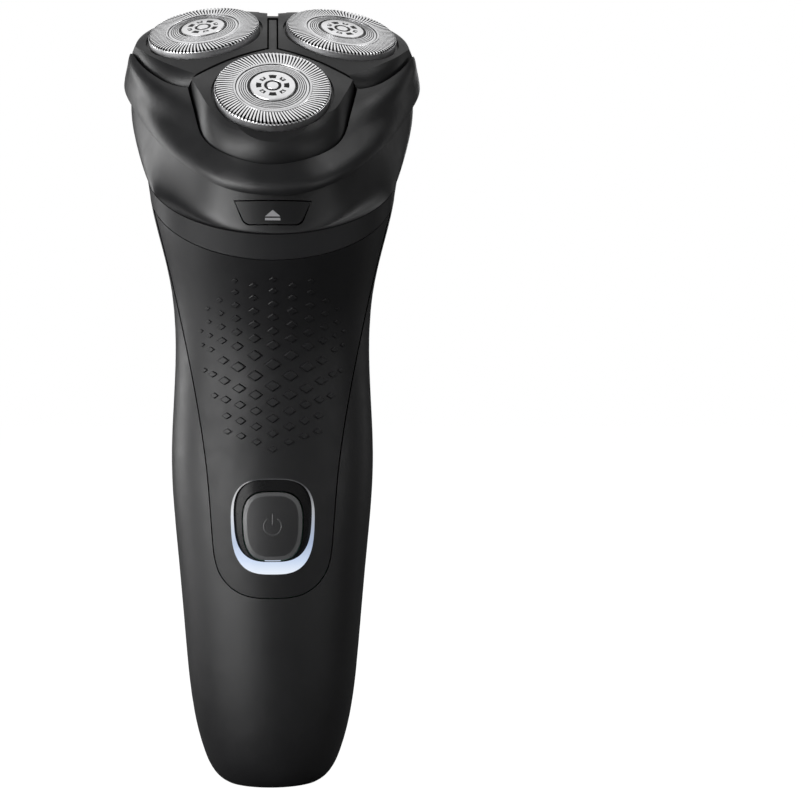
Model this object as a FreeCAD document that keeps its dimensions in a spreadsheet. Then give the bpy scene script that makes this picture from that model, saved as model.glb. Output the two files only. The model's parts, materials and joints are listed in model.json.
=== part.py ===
import FreeCAD, Part
import math
import os
import re

import Sketcher
from FreeCAD import Placement, Rotation, Vector

# Rotary electric shaver, in millimetres. +Z is up along the handle, the front faces -Y,
# and the origin is the centre of the flat base that the shaver stands on.

doc = FreeCAD.newDocument("rotary_shaver")

# ---------------------------------------------------------------- driving sizes

SIZES = {
    "head_y": -3, "head_z": 150.4, "head_tilt": 37, "head_ring": 16.7, "head_splay": 9.5,
    "wall": 1.8, "seam": 0.12,
    "guard_r": 11.6, "guard_drop": 3.4, "guard_sheet": 0.6, "guard_flange": 12.3,
    "track_r": 7.9, "dish_drop": 0.3, "cap_r": 4.76, "cap_rise": 0.56, "cap_stem_r": 2.2,
    "cutter_r": 10.6, "cutter_count": 15, "blade_gap": 0.1, "blade_base": 3.3, "blade_sheet": 0.6,
    "hub_r": 3.6, "hub_bottom": 6.6, "slot_half": 0.95, "slot_reach": 2.0, "flare_top": 4.3,
    "flare_r": 3.2, "blade_half": 0.5, "ball_r": 1.5, "spindle_r": 1.3,
    "petal_bore": 11.7, "petal_recess": 12.4, "petal_tube": 13.3, "petal_tube_bottom": 5.5,
    "petal_pivot": 7.6, "pin_r": 0.9, "pin_hole_r": 0.97, "ring_in": 10.9, "ring_top": 3.5,
    "ring_bottom": 5.0,
    "lip_z": 12.7, "carrier_top": 11.2, "carrier_bottom": 12.4, "skirt_z": 9.6,
    "cover_top": 13.1, "cover_bottom": 14.2, "gear_top": 14.6, "gear_bottom": 16.6,
    "plate_top": 17.0, "plate_bottom": 18.7,
    "gear_module": 0.6, "sun_teeth": 24, "gear_teeth": 29,
    "bevel_cone": 19, "bevel_face": 4, "pinion_teeth": 12, "bevel_teeth": 18,
    "motor_y": 2, "motor_r": 11.7, "motor_low": 84, "motor_high": 112, "motor_wall": 1.0,
    "armature_r": 8.6, "shaft_foot": 26.5, "shaft_r": 1.0, "shaft_hole_r": 1.05,
    "cell_r": 9, "cell_length": 50, "cell_y": 4.6, "cell_low": 22,
    "board_half": 11, "board_low": 28, "board_high": 81, "board_y": -8.6, "board_sheet": 1.2,
    "chassis_y": -6.6, "chassis_sheet": 1.4, "chassis_half": 12.6, "chassis_low": 19,
    "chassis_high": 82,
    "button_z": 53, "button_a": 5.85, "button_b": 6.75, "button_rim": 0.75, "button_gap": 0.3,
    "button_travel": 0.8, "ring_a": 8.3, "ring_b": 9.5,
    "release_top": 116.9, "release_low": 112.5, "release_wide": 7.4, "release_narrow": 5.4,
    "release_travel": 1.5,
    "socket_half": 5.5, "socket_side": 3.5, "socket_depth": 7.5, "socket_wall": 1.2,
    "contact_r": 0.9, "contact_length": 2.6, "contact_pitch": 5,
    "hinge_y": 27.2, "hinge_z": 13.2, "hinge_r": 1.8, "hinge_pin_r": 0.7, "hinge_hole_r": 0.77,
    "knuckle_half": 4.2, "knuckle_out": 9.0,
    "post_ring": 17, "post_r": 1.9, "screw_r": 0.85, "screw_head_r": 1.6,
}
sheet = doc.addObject("Spreadsheet::Sheet", "Sizes")
for row, (alias, value) in enumerate(SIZES.items(), start=1):
    sheet.set(f"A{row}", alias)
    sheet.set(f"B{row}", str(value))
    sheet.setAlias(f"B{row}", alias)
doc.recompute()


def size(alias):
    return float(sheet.get(alias))


# Handle sections, bottom to top: front depth and height, rear depth and height, half width.
# Each section is an ellipse through its front and rear points, so the sections lean
# forward as the handle runs up into the tilted head.
HANDLE = [
    (-11.0, 0.0, 11.0, 0.0, 9.6),
    (-13.0, 2.0, 13.1, 2.0, 12.0),
    (-14.6, 6.0, 14.9, 6.0, 14.0),
    (-16.0, 14.0, 16.6, 14.0, 16.1),
    (-17.0, 28.0, 18.0, 28.0, 17.8),
    (-17.5, 46.0, 18.9, 46.0, 19.4),
    (-16.9, 64.0, 19.2, 67.0, 20.8),
    (-15.6, 81.0, 19.0, 90.0, 20.1),
    (-17.6, 93.0, 19.5, 109.0, 20.8),
    (-20.7, 100.0, 21.4, 124.0, 23.1),
    (-23.8, 105.3, 24.6, 137.7, 25.2),
]
TRIM_TOP = (-23.0, 110.4, 24.5, 140.2, 25.8)

# Half outline of the shaving unit's lip in the head's own plane, front to rear: across, back.
LIP = [
    (0, -37.1), (10.4, -33.7), (16.7, -26.8), (23.2, -16.6), (28.7, -3.2),
    (31.3, 8.0), (27.9, 18.2), (17.0, 23.8), (0, 25.0),
]
# Half outline of the front grip panel's lower border: across, height.
PANEL = [
    (0, 38.7), (6.6, 39.7), (10.4, 43.2), (12.0, 50),
    (13.0, 62.4), (16.2, 82.5), (20.9, 104), (24.6, 119),
]

# ---------------------------------------------------------------- frames

HEAD = Placement(Vector(0, size("head_y"), size("head_z")), Rotation(Vector(1, 0, 0), size("head_tilt")))
STATIONS = {"front": -90, "right": 30, "left": 150}
GEAR_RING = size("gear_module") * (size("sun_teeth") + size("gear_teeth")) / 2
SPLAY = math.radians(size("head_splay"))
BALL_DEPTH = (size("head_ring") - GEAR_RING) / math.sin(SPLAY)


def turned_to(angle):
    """Frame of one of the three heads: X points outward from the head's axis."""
    return HEAD * Placement(Vector(), Rotation(Vector(0, 0, 1), angle))


def petal_frame(station):
    out = Placement(Vector(size("head_ring"), 0, 0), Rotation(Vector(0, 1, 0), size("head_splay")))
    return turned_to(STATIONS[station]) * out


def spindle_frame(station):
    return turned_to(STATIONS[station]) * Placement(Vector(GEAR_RING, 0, 0), Rotation())


# ---------------------------------------------------------------- document helpers

nodes = []


def keep(obj, label, placement=None):
    """Makes an object a sub-part: its label is the node's name."""
    obj.Label = label
    if placement is not None:
        obj.Placement = placement
    nodes.append(obj)
    return obj


def feature(label, shape, placement=None):
    """A sub-part whose free-form solid is made with Part's own functions."""
    obj = doc.addObject("Part::Feature", label)
    obj.Shape = shape
    return keep(obj, label, placement)


def bound(kind, name, **expressions):
    """A Part primitive whose sizes are bound to the sheet."""
    obj = doc.addObject(kind, name)
    for prop, expression in expressions.items():
        obj.setExpression(prop, expression)
    return obj


def sheet_names(expression):
    """Puts the sheet's name before each alias in an expression."""
    words = re.split(r"([^A-Za-z_]+)", expression)
    return "".join("Sizes." + word if word in SIZES else word for word in words)


def worth(expression):
    """Value of an expression of aliases."""
    return float(sheet.evalExpression(sheet_names(expression)))


def origin_plane(body, role):
    return next(f for f in body.Origin.OriginFeatures if f.Role == role)


def polygon_sketch(body, name, role, points):
    """A closed sketch whose corners are held by two dimensions each, bound to the sheet."""
    sketch = body.newObject("Sketcher::SketchObject", name)
    sketch.AttachmentSupport = [(origin_plane(body, role), "")]
    sketch.MapMode = "FlatFace"
    corners = [Vector(worth(across), worth(up), 0) for across, up in points]
    count = len(points)
    for i in range(count):
        sketch.addGeometry(Part.LineSegment(corners[i], corners[(i + 1) % count]), False)
    for i in range(count):
        sketch.addConstraint(Sketcher.Constraint("Coincident", i, 2, (i + 1) % count, 1))
    for i, (across, up) in enumerate(points):
        for kind, expression, now in (("DistanceX", across, corners[i].x), ("DistanceY", up, corners[i].y)):
            index = sketch.addConstraint(Sketcher.Constraint(kind, -1, 1, i, 1, now))
            sketch.setExpression(f"Constraints[{index}]", sheet_names(expression))
    return sketch


def turned(label, points, placement=None):
    """A body turned about its own Z axis from (radius, height) corners."""
    body = doc.addObject("PartDesign::Body", label)
    sketch = polygon_sketch(body, label + "_profile", "XZ_Plane", points)
    turn = body.newObject("PartDesign::Revolution", label + "_turn")
    turn.Profile = sketch
    turn.ReferenceAxis = (sketch, ["V_Axis"])
    turn.Angle = 360
    body.Tip = turn
    return keep(body, label, placement)


def block(name, x0, x1, y0, y1, z0, z1):
    """A box between two corners given as expressions of aliases."""
    box = doc.addObject("Part::Box", name)
    for prop, low, high in (("Length", x0, x1), ("Width", y0, y1), ("Height", z0, z1)):
        box.setExpression(prop, sheet_names(f"({high}) - ({low})"))
    for axis, low in (("x", x0), ("y", y0), ("z", z0)):
        box.setExpression(f"Placement.Base.{axis}", sheet_names(low))
    return box


def rod(name, radius, low, high, x="0", y="0"):
    """An upright cylinder given by expressions of aliases."""
    cylinder = doc.addObject("Part::Cylinder", name)
    cylinder.setExpression("Radius", sheet_names(radius))
    cylinder.setExpression("Height", sheet_names(f"({high}) - ({low})"))
    for axis, at in (("x", x), ("y", y), ("z", low)):
        cylinder.setExpression(f"Placement.Base.{axis}", sheet_names(at))
    return cylinder


def less(label, base, tools, placement=None):
    """A base with tools cut from it."""
    tool = tools[0] if len(tools) == 1 else doc.addObject("Part::MultiFuse", label + "_tools")
    if len(tools) > 1:
        tool.Shapes = tools
    cut = doc.addObject("Part::Cut", label)
    cut.Base = base
    cut.Tool = tool
    return keep(cut, label, placement)


def group(label, parts, placement=None):
    """Separate identical solids kept in one node."""
    compound = doc.addObject("Part::Compound", label)
    compound.Links = parts
    return keep(compound, label, placement)


# ---------------------------------------------------------------- shapes in Part's own functions

def smooth_ring(points):
    """A closed smooth wire through points."""
    curve = Part.BSplineCurve()
    curve.interpolate(Points=points, PeriodicFlag=True)
    return Part.Wire(curve.toShape())


def loft(wires, ruled=False):
    return Part.makeLoft(wires, True, ruled)


def handle_section(row, inset, count=24):
    """Leaning ellipse through a section's front and rear points, pulled in by inset."""
    front_y, front_z, rear_y, rear_z, half = row
    front, rear = Vector(0, front_y, front_z), Vector(0, rear_y, rear_z)
    middle = (front + rear) * 0.5
    reach = rear - front
    depth = reach.Length / 2 - inset
    lean = reach.normalize()
    points = []
    for i in range(count):
        t = 2 * math.pi * i / count
        across = Vector((half - inset) * math.cos(t), 0, 0)
        points.append(middle + across + lean * (depth * math.sin(t)))
    return smooth_ring(points)


handle_shapes = {}


def handle_solid(inset):
    """The handle's outer form, or the same form pulled in by inset."""
    if inset not in handle_shapes:
        rows = HANDLE
        if inset:
            floor = size("wall") if inset >= size("wall") else inset
            low = [r for r in HANDLE if r[1] > floor + 1]
            rows = [(low[0][0] + 0.9, floor, low[0][2] - 0.9, floor, low[0][4] - 1.1)] + low
            top = HANDLE[-1]
            rows = rows + [(top[0] - 0.5, top[1] + 3, top[2] + 0.3, top[3] + 3, top[4] + 0.3)]
        handle_shapes[inset] = loft([handle_section(r, inset) for r in rows])
    return handle_shapes[inset]


def head_outline(half, inset, height):
    """Smooth mirrored outline in the head's plane, pulled in by inset, at a height along its axis."""
    points = [Vector(x, y, 0) for x, y in half] + [Vector(-x, y, 0) for x, y in half[-2:0:-1]]
    count = len(points)
    moved = []
    for i, point in enumerate(points):
        along = points[(i + 1) % count] - points[i - 1]
        inward = Vector(-along.y, along.x, 0).normalize()
        moved.append(point + inward * inset + Vector(0, 0, height))
    return smooth_ring(moved)


def prism(points, depth):
    """Straight prism from corner points along a vector."""
    return Part.Face(Part.makePolygon(points + points[:1])).extrude(depth)


def slab(top, bottom):
    """Flat layer of the head's frame between two depths below the rim plane."""
    layer = Part.makeBox(120, 120, bottom - top, Vector(-60, -60, -bottom))
    layer.Placement = HEAD
    return layer


def pebble(a, b, z, y0, y1, rise=0.0, power=3.2, taper=0.05):
    """Bar along Y with a rounded-square section that narrows towards its foot."""
    points = []
    for i in range(32):
        t = 2 * math.pi * i / 32
        across = math.copysign(abs(math.cos(t)) ** (2 / power), math.cos(t))
        up = math.copysign(abs(math.sin(t)) ** (2 / power), math.sin(t))
        points.append(Vector(a * across * (1 + taper * up - taper * up * up), y0, z + rise + b * up))
    return Part.Face(smooth_ring(points)).extrude(Vector(0, y1 - y0, 0))


def in_head(shape):
    """Takes a shape made in the head's frame into the shaver's frame."""
    return shape.transformed(HEAD.toMatrix())


# ---------------------------------------------------------------- handle shells

WALL = size("wall")
SEAM = size("seam")
FAR = 60


def panel_prism(offset):
    """The front panel's outline as a prism through the front half, grown by offset."""
    half = [Vector(x, 0, z) for x, z in PANEL]
    border = [Vector(-p.x, 0, p.z) for p in half[:0:-1]] + half
    moved = []
    for i, point in enumerate(border):
        along = border[min(i + 1, len(border) - 1)] - border[max(i - 1, 0)]
        moved.append(point + Vector(along.z, 0, -along.x).normalize() * offset)
    curve = Part.BSplineCurve()
    curve.interpolate(Points=moved)
    top = Part.LineSegment(moved[-1], moved[0])
    face = Part.Face(Part.Wire([curve.toShape(), top.toShape()]))
    prism_solid = face.extrude(Vector(0, FAR, 0))
    prism_solid.translate(Vector(0, 0.6 - FAR, 0))
    return prism_solid


def release_prism(offset):
    """The release button's outline as a prism through the collar's front, grown by offset."""
    top, low = size("release_top") + offset, size("release_low") - offset
    wide, narrow = size("release_wide") + offset, size("release_narrow") + offset
    corners = [(-wide, top), (-narrow, low), (narrow, low), (wide, top)]
    solid = prism([Vector(x, -40, z) for x, z in corners], Vector(0, 26, 0))
    lower = [e for e in solid.Edges if e.BoundBox.ZMax < low + 0.01 and e.BoundBox.YLength > 20]
    return solid.makeFillet(1.9, lower)


def handle_layer(outer, inner):
    """Skin of the handle between two depths below its surface."""
    return handle_solid(outer).cut(handle_solid(inner))


BUTTON_Z = size("button_z")
RING_A, RING_B = size("ring_a"), size("ring_b")
FRONT, INSIDE = -30, -9

shell = handle_layer(0, WALL)
ring_hole = pebble(RING_A, RING_B, BUTTON_Z, FRONT, INSIDE)
socket_r = size("socket_side") + size("socket_wall")
socket_run = size("socket_half") - size("socket_side")


def obround(radius, run, low, high):
    """Upright bar with a slot-shaped section."""
    ends = [Part.makeCylinder(radius, high - low, Vector(x, 0, low)) for x in (-run, run)]
    middle = Part.makeBox(2 * run, 2 * radius, high - low, Vector(-run, -radius, low))
    return ends[0].fuse(ends[1]).fuse(middle).removeSplitter()


rear_shell = shell.cut(panel_prism(SEAM)).cut(obround(socket_r + 0.02, socket_run, -1, 6))
feature("rear_housing", rear_shell)
feature("front_panel", shell.common(panel_prism(-SEAM)).cut(ring_hole))

# Crescent light guide flush with the panel, and the glossy dish inside it.
crescent_hole = pebble(RING_A - 0.55, RING_B - 1.3, BUTTON_Z, FRONT, INSIDE, rise=1.1)
crescent = ring_hole.cut(crescent_hole)
feature("light_guide", handle_layer(0.02, WALL).common(crescent))
button_gap = size("button_gap")
button_hole = pebble(size("button_a") + button_gap, size("button_b") + button_gap, BUTTON_Z, FRONT, INSIDE)
feature("button_bezel", handle_layer(0.75, WALL + 0.6).common(crescent_hole).cut(button_hole))

# Power button: a bright bevel ring round a matt cap, with a flange behind the dish.
BUTTON_REAR = -12.9
rim_width = size("button_rim")
cap_bar = pebble(size("button_a") - rim_width, size("button_b") - rim_width, BUTTON_Z, FRONT, BUTTON_REAR)
whole_bar = pebble(size("button_a"), size("button_b"), BUTTON_Z, FRONT, BUTTON_REAR)
proud = handle_solid(0.35)
feature("power_button", proud.common(cap_bar))
feature("button_rim", proud.common(whole_bar.cut(cap_bar)))

# ---------------------------------------------------------------- trim ring, collar and its plates


def raised(row, lift):
    """A handle section moved up along Z."""
    return (row[0], row[1] + lift, row[2], row[3] + lift, row[4])


def trim_solid(inset, low, high):
    lower = handle_section(raised(HANDLE[-1], low), inset)
    upper = handle_section(raised(TRIM_TOP, high), inset)
    return loft([lower, upper])


COLLAR_BACK = [
    (0, -36.4), (10.2, -33.0), (16.2, -26.2), (22.2, -16.2), (27.2, -3.0),
    (29.3, 7.6), (26.6, 17.2), (16.6, 22.8), (0, 24.0),
]
COLLAR_NECK = [
    (0, -38.2), (10.6, -34.8), (17.0, -27.6), (23.5, -17.2), (28.3, -4.2),
    (29.8, 5.6), (27.0, 15.2), (16.4, 21.0), (0, 22.2),
]
NECK_DEPTH = 17.2
COLLAR_TOP = size("cover_top")


def collar_solid(inset, low=0.2, top=COLLAR_TOP):
    """From the trim ring's tilted ellipse up to the rounded triangle under the lip."""
    lower = handle_section(raised(TRIM_TOP, low), inset)
    neck = in_head(head_outline(COLLAR_NECK, inset, -NECK_DEPTH))
    upper = in_head(head_outline(COLLAR_BACK, inset, -top))
    return loft([lower, neck, upper])


trim = trim_solid(0, 0.2, 0).cut(trim_solid(WALL, 0.1, 0.1))
feature("trim_ring", trim)
gasket = trim_solid(WALL + 0.75, -1.0, -2.0).cut(trim_solid(WALL + 1.8, -1.1, -1.9))
feature("collar_gasket", gasket)

collar_out = collar_solid(0)
collar_in = collar_solid(WALL, low=0.0, top=COLLAR_TOP - 0.2)
collar = collar_out.cut(collar_in).cut(release_prism(0.25))

# Hinge at the rear: two outer knuckles on the collar, one centre knuckle on the shaving unit.
HINGE_Y, HINGE_Z, HINGE_R = size("hinge_y"), -size("hinge_z"), size("hinge_r")


def knuckle(x0, x1, arm):
    """Barrel about the hinge axis with an arm of corners given as (across, along) in the head's frame."""
    across = Vector(1, 0, 0)
    barrel = Part.makeCylinder(HINGE_R, x1 - x0, Vector(x0, HINGE_Y, HINGE_Z), across)
    plate = prism([Vector(x0, y, z) for y, z in arm], Vector(x1 - x0, 0, 0))
    start = Vector(x0 - 1, HINGE_Y, HINGE_Z)
    bore = Part.makeCylinder(size("hinge_hole_r"), x1 - x0 + 2, start, across)
    return in_head(barrel.fuse(plate).cut(bore))


KNUCKLE, KNUCKLE_OUT = size("knuckle_half"), size("knuckle_out")
low_arm = [
    (HINGE_Y + 1.5, HINGE_Z - 0.9), (HINGE_Y - 1.2, HINGE_Z - 0.6), (22.6, HINGE_Z - 0.9),
    (21.4, HINGE_Z - 6.5), (22.4, HINGE_Z - 6.5),
]
for side in (1, -1):
    x0, x1 = sorted((side * (KNUCKLE + 0.3), side * KNUCKLE_OUT))
    collar = collar.fuse(knuckle(x0, x1, low_arm).cut(collar_in))
feature("collar", collar)
hinge_pin = bound("Part::Cylinder", "hinge_pin", Radius="Sizes.hinge_pin_r", Height="Sizes.knuckle_out * 2")
lying = Placement(Vector(-KNUCKLE_OUT, HINGE_Y, HINGE_Z), Rotation(Vector(0, 1, 0), 90))
keep(hinge_pin, "hinge_pin", HEAD * lying)

collar_room = collar_solid(WALL + 0.05, low=0.0, top=COLLAR_TOP - 0.2)
POSTS = [90, -30, -150]


def bar_at(ring, angle, radius, low, high):
    """Bar along the head's axis between two depths, at a distance and angle from that axis."""
    turn = math.radians(angle)
    spot = Vector(ring * math.cos(turn), ring * math.sin(turn), -high)
    return in_head(Part.makeCylinder(radius, high - low, spot))


def at_post(radius, low, high, angle):
    """Bar at one of the screw posts."""
    return bar_at(size("post_ring"), angle, radius, low, high)


cover = collar_room.common(slab(size("cover_top"), size("cover_bottom")))
for angle in STATIONS.values():
    cover = cover.cut(bar_at(GEAR_RING, angle, 1.75, 0, 30))
for angle in POSTS:
    cover = cover.cut(at_post(size("screw_r") + 0.05, 10, 20, angle))
    cover = cover.cut(at_post(size("screw_head_r") + 0.05, 12, 13.9, angle))
cover = cover.cut(in_head(Part.makeBox(9, 5, 5, Vector(-4.5, -36.8, -16))))
feature("gear_cover", cover)

gear_plate = collar_room.common(slab(size("plate_top"), size("plate_bottom")))
gear_plate = gear_plate.cut(in_head(Part.makeBox(40, 10, 5, Vector(-20, -44, -21))))
gear_plate = gear_plate.cut(in_head(Part.makeBox(17, 11.6, 5, Vector(-8.5, -44, -21))))
gear_plate = gear_plate.cut(in_head(Part.makeBox(8, 14, 5, Vector(-4, -44, -21))))
for angle in POSTS:
    gear_plate = gear_plate.fuse(at_post(size("post_r"), size("cover_bottom"), size("plate_top"), angle))
for angle in POSTS:
    gear_plate = gear_plate.cut(at_post(size("screw_r") + 0.02, 10, size("plate_bottom") + 1, angle))
gear_plate = gear_plate.cut(in_head(Part.makeCylinder(2.0, 6, Vector(0, 0, -22))))
# Window in front of the bevel pinion, which stands higher than the plate there.
window = Part.makeCylinder(5.0, 10, Vector(0, size("motor_y"), 124))
window = window.common(Part.makeBox(12, 6, 12, Vector(-6, -4.8, 123)))
gear_plate = gear_plate.cut(window)
for angle in STATIONS.values():
    gear_plate = gear_plate.cut(bar_at(GEAR_RING, angle, size("pin_hole_r"), 15, 21))
feature("gear_plate", gear_plate)

screws = []
for number, angle in enumerate(POSTS, start=1):
    head = rod(f"plate_screw_head_{number}", "screw_head_r", "-13.9", "-13.2")
    shank = rod(f"plate_screw_shank_{number}", "screw_r", "-18.5", "-13.9")
    screw = doc.addObject("Part::Fuse", f"plate_screw_{number}")
    screw.Base, screw.Tool = head, shank
    screw.Placement = turned_to(angle) * Placement(Vector(size("post_ring"), 0, 0), Rotation())
    screws.append(screw)
group("gear_plate_screws", screws)

turned("shaft_bush", [
    ("shaft_hole_r", "-plate_bottom"), ("2.0", "-plate_bottom"), ("2.0", "-plate_top"),
    ("2.6", "-plate_top"), ("2.6", "-plate_top+0.25"), ("shaft_hole_r", "-plate_top+0.25")], HEAD)

# Release button in the collar's front, with a stem behind it.
release_skin = collar_out.cut(collar_solid(1.7, low=0.0, top=COLLAR_TOP - 0.2))
release = release_skin.common(release_prism(0))
stem = Part.makeBox(6, 5.0, 2.4, Vector(-3, -22.9, 113.6))
feature("release_button", release.fuse(stem))

# ---------------------------------------------------------------- inside the handle

MOTOR_AT = Placement(Vector(0, size("motor_y"), 0), Rotation())
turned("motor_can", [
    ("shaft_hole_r", "motor_low"), ("motor_r", "motor_low"), ("motor_r", "motor_high"),
    ("shaft_hole_r", "motor_high"), ("shaft_hole_r", "motor_high-motor_wall"),
    ("motor_r-motor_wall", "motor_high-motor_wall"), ("motor_r-motor_wall", "motor_low+motor_wall"),
    ("shaft_hole_r", "motor_low+motor_wall")], MOTOR_AT)

turned("battery_cell", [
    ("0", "cell_low"), ("cell_r", "cell_low"), ("cell_r", "cell_low+cell_length-2"),
    ("cell_r-1", "cell_low+cell_length-1"), ("2.7", "cell_low+cell_length-1"),
    ("2.7", "cell_low+cell_length"), ("0", "cell_low+cell_length")],
    Placement(Vector(0, size("cell_y"), 0), Rotation()))
tabs = []
for name, low, high in (("contact_low", "cell_low-0.4", "cell_low"),
                        ("contact_high", "cell_low+cell_length", "cell_low+cell_length+0.4")):
    tabs.append(block(name, "-2.5", "2.5", "chassis_y+chassis_sheet", "cell_y+3", low, high))
group("battery_contacts", tabs)

board = block("board_blank", "-board_half", "board_half", "board_y", "board_y+board_sheet",
              "board_low", "board_high")
keep(board, "circuit_board")
tact = block("tact_body", "-3", "3", "board_y-3", "board_y", "button_z-3", "button_z+3")
plunger = doc.addObject("Part::Cylinder", "tact_plunger")
plunger.Radius, plunger.Height = 1.6, 0.4
plunger_foot = Vector(0, size("board_y") - 3, BUTTON_Z)
plunger.Placement = Placement(plunger_foot, Rotation(Vector(1, 0, 0), 90))
switch = doc.addObject("Part::Fuse", "switch")
switch.Base, switch.Tool = tact, plunger
keep(switch, "tact_switch")
led = block("status_led", "-1.6", "1.6", "board_y-1", "board_y", "button_z-8.4", "button_z-6.8")
keep(led, "status_led")

tray = block("tray_sheet", "-chassis_half", "chassis_half", "chassis_y", "chassis_y+chassis_sheet",
             "chassis_low", "chassis_high")
low_rib = block("tray_low_rib", "-8", "8", "chassis_y", "11", "cell_low-2.4", "cell_low-0.9")
high_rib = block("tray_high_rib", "-9", "9", "chassis_y", "11",
                 "cell_low+cell_length+0.9", "cell_low+cell_length+2.4")
motor_shelf = block("tray_motor_shelf", "-11", "11", "chassis_y", "12", "chassis_high-1.6", "chassis_high")
standoffs = []
for i, (x, z) in enumerate(((-9, 32), (9, 32), (-9, 77), (9, 77)), start=1):
    standoff = block(f"tray_standoff_{i}", f"{x}-1.2", f"{x}+1.2", "board_y+board_sheet", "chassis_y",
                     f"{z}-1.2", f"{z}+1.2")
    standoffs.append(standoff)
frame_tray = doc.addObject("Part::MultiFuse", "tray")
frame_tray.Shapes = [tray, low_rib, high_rib, motor_shelf] + standoffs
shaft_hole = rod("tray_shaft_hole", "3", "chassis_high-3", "chassis_high+3", "0", "motor_y")
less("chassis", frame_tray, [shaft_hole])

socket_out = obround(socket_r, socket_run, 0.3, 9.4)
socket_room = obround(size("socket_side"), socket_run, -1, size("socket_depth"))
flange = obround(socket_r + 1.5, socket_run, WALL + 0.9, WALL + 2.0)
feature("charging_socket", socket_out.fuse(flange).cut(socket_room))
seal = obround(socket_r + 1.4, socket_run, WALL + 0.02, WALL + 0.88)
seal = seal.cut(obround(socket_r + 0.02, socket_run, WALL - 1, WALL + 2))
feature("socket_seal", seal)
pins = []
for i, side in enumerate((-1, 1), start=1):
    pins.append(rod(f"charging_contact_{i}", "contact_r", "socket_depth-contact_length", "socket_depth",
                    f"{side}*contact_pitch/2"))
group("charging_contacts", pins)

# ---------------------------------------------------------------- motor rotor and bevel pair

shaft = rod("motor_shaft", "shaft_r", "motor_low-1.2", "130", "0", "motor_y")
keep(shaft, "motor_shaft")
turned("motor_armature", [
    ("shaft_r", "motor_low+3"), ("armature_r", "motor_low+3"), ("armature_r", "motor_high-3"),
    ("shaft_r", "motor_high-3")], MOTOR_AT)

TILT = math.radians(size("head_tilt"))
RATIO = size("pinion_teeth") / size("bevel_teeth")
PINION_CONE = math.atan2(math.sin(TILT), 1 / RATIO + math.cos(TILT))
WHEEL_CONE = TILT - PINION_CONE
APEX_DEPTH = (size("motor_y") - size("head_y")) / math.sin(TILT)
APEX = HEAD.multVec(Vector(0, 0, -APEX_DEPTH))


def bevel_gear(cone, teeth, bore, phase):
    """Straight bevel gear with its apex at the origin and its big end below it."""
    outer, inner = size("bevel_cone"), size("bevel_cone") - size("bevel_face")
    pitch = 2 * outer * math.sin(cone) / teeth
    add, ded = 0.72 * pitch, 0.95 * pitch
    half_root, half_tip = 0.92 * pitch, 0.38 * pitch

    def at(scale, rise, side):
        """A point at a cone distance share, a height off the pitch cone and a distance along its rim."""
        reach = Vector(math.sin(cone), 0, -math.cos(cone)) * outer
        off = Vector(math.cos(cone), 0, math.sin(cone)) * rise
        return (reach + off + Vector(0, side, 0)) * scale

    root_low, root_high = at(1, -ded, 0), at(inner / outer, -ded, 0)
    corners = [Vector(bore, 0, root_low.z), root_low, root_high, Vector(bore, 0, root_high.z)]
    gear = Part.Face(Part.makePolygon(corners + corners[:1])).revolve(Vector(), Vector(0, 0, 1), 360)
    sides = ((-ded - 0.3, -half_root), (-ded - 0.3, half_root), (add, half_tip), (add, -half_tip))
    loops = []
    for scale in (1.0, inner / outer):
        loop = [at(scale, rise, side) for rise, side in sides]
        loops.append(Part.makePolygon(loop + loop[:1]))
    tooth = loft(loops, ruled=True)
    for i in range(int(teeth)):
        turned_tooth = tooth.copy()
        turned_tooth.rotate(Vector(), Vector(0, 0, 1), phase + 360.0 * i / teeth)
        gear = gear.fuse(turned_tooth)
    return gear


pinion = bevel_gear(PINION_CONE, size("pinion_teeth"), size("shaft_r"), 0)
feature("bevel_pinion", pinion, Placement(APEX, Rotation()))
wheel = bevel_gear(WHEEL_CONE, size("bevel_teeth"), size("shaft_r"), 0)
feature("bevel_wheel", wheel, Placement(APEX, HEAD.Rotation))
drive_shaft = bound("Part::Cylinder", "drive_shaft", Radius="Sizes.shaft_r",
                    Height="Sizes.shaft_foot - Sizes.gear_top")
keep(drive_shaft, "drive_shaft", HEAD * Placement(Vector(0, 0, -size("shaft_foot")), Rotation()))


def spur_gear(label, teeth, bore, phase, placement):
    """Disc with one tooth repeated round it, between the gear train's two depths."""
    body = doc.addObject("PartDesign::Body", label)
    root = f"(gear_module*({teeth}/2-1.15))"
    ring = polygon_sketch(body, label + "_ring", "XZ_Plane", [
        (bore, "-gear_bottom"), (root, "-gear_bottom"), (root, "-gear_top"), (bore, "-gear_top")])
    disc = body.newObject("PartDesign::Revolution", label + "_disc")
    disc.Profile, disc.ReferenceAxis, disc.Angle = ring, (ring, ["V_Axis"]), 360
    inside, tip, pitch = f"({root}-0.3)", f"(gear_module*({teeth}/2+0.8))", f"(gear_module*{teeth}/2)"
    tooth = polygon_sketch(body, label + "_tooth_outline", "XY_Plane", [
        (inside, "-0.98*gear_module"), (pitch, "-0.7*gear_module"), (tip, "-0.36*gear_module"),
        (tip, "0.36*gear_module"), (pitch, "0.7*gear_module"), (inside, "0.98*gear_module")])
    tooth.AttachmentOffset = Placement(Vector(0, 0, -size("gear_bottom")), Rotation())
    doc.recompute()
    pad = body.newObject("PartDesign::Pad", label + "_tooth")
    pad.Profile = tooth
    pad.setExpression("Length", "Sizes.gear_bottom - Sizes.gear_top")
    doc.recompute()
    pattern = body.newObject("PartDesign::PolarPattern", label + "_teeth")
    pattern.Originals, pattern.Axis, pattern.Angle = [pad], (tooth, ["N_Axis"]), 360
    pattern.setExpression("Occurrences", f"Sizes.{teeth}")
    body.Tip = pattern
    return keep(body, label, placement * Placement(Vector(), Rotation(Vector(0, 0, 1), phase)))


spur_gear("sun_gear", "sun_teeth", "shaft_r", -90, HEAD)

# ---------------------------------------------------------------- shaving unit: crown and carrier

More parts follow.
